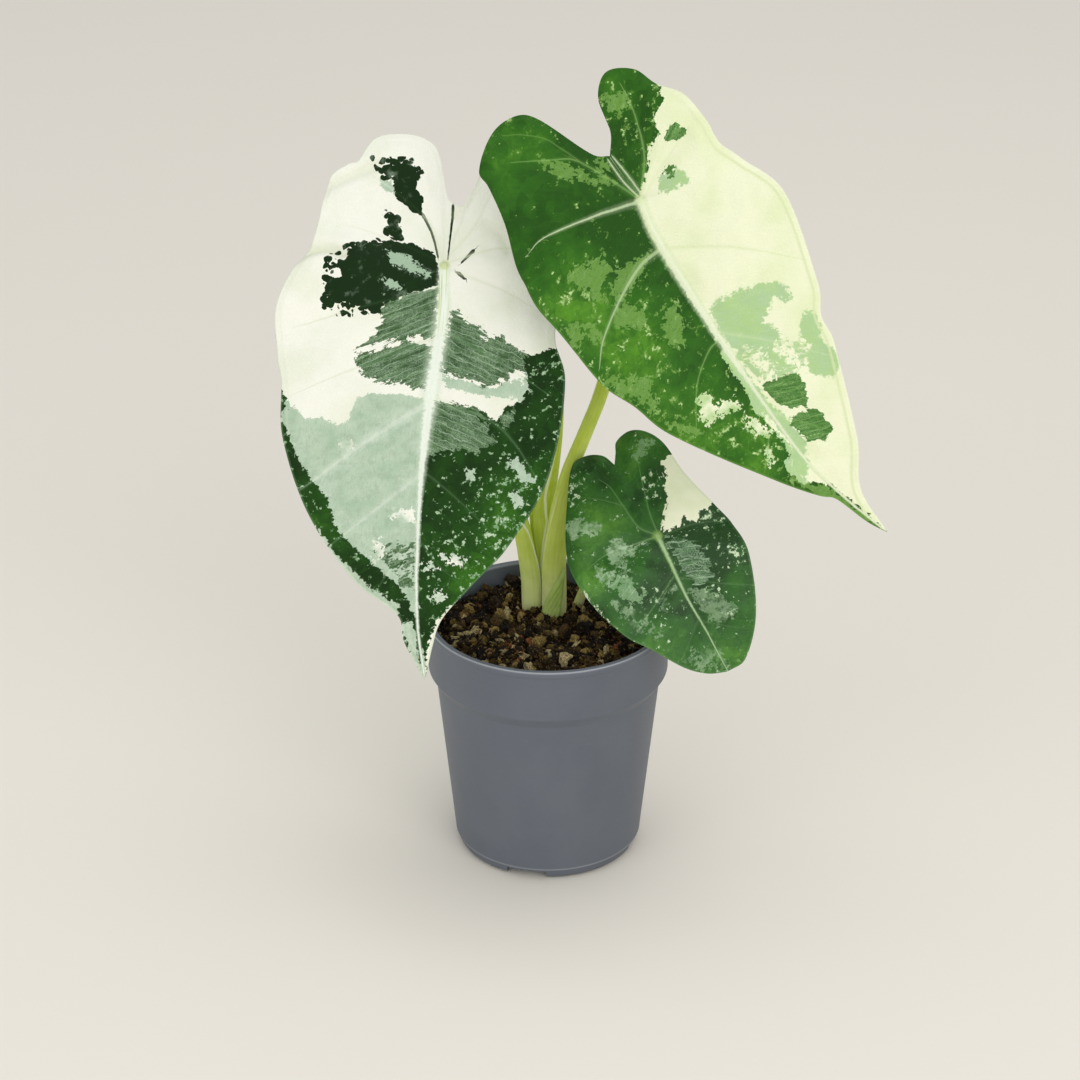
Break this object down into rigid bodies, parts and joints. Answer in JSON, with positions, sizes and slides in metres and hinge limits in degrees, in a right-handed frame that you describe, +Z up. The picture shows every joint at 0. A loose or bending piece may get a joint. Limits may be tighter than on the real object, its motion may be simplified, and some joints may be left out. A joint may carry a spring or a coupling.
{
  "type": "potted alocasia plant",
  "caption": "Young variegated alocasia with arrow-shaped leaves on slender stalks, growing in soil in a round tapered nursery pot that stands on a flat surface.",
  "frame": {"origin": "on the pot's axis, in the plane of the pot's underside, which stands on the surface", "axes": "+Z is up; -Y is the side that the leaves face; +X is to the right as seen from the front"},
  "size_m": [0.142, 0.0794, 0.1986],
  "materials": {
    "pot_plastic": "satin grey moulded plastic",
    "soil": "dark crumbly peat and bark, matte",
    "corm": "brown, rough",
    "stalk": "smooth yellow-green, slightly glossy",
    "shoot": "smooth yellow-green, slightly glossy",
    "sheath": "olive green, dull",
    "blade_pale": "velvety cream, sage and dark green variegation",
    "blade_half": "velvety, half green and half cream",
    "blade_dark": "velvety mid green with cream and sage flecks"
  },
  "bodies": {
    "root": {"pot": "pot_plastic", "soil": "soil", "corm": "corm", "left_petiole": "stalk", "right_petiole": "stalk", "small_petiole": "stalk", "new_shoot": "shoot", "base_sheath": "sheath", "left_blade": "blade_pale", "right_blade": "blade_half", "small_blade": "blade_dark"}
  },
  "joints": []
}
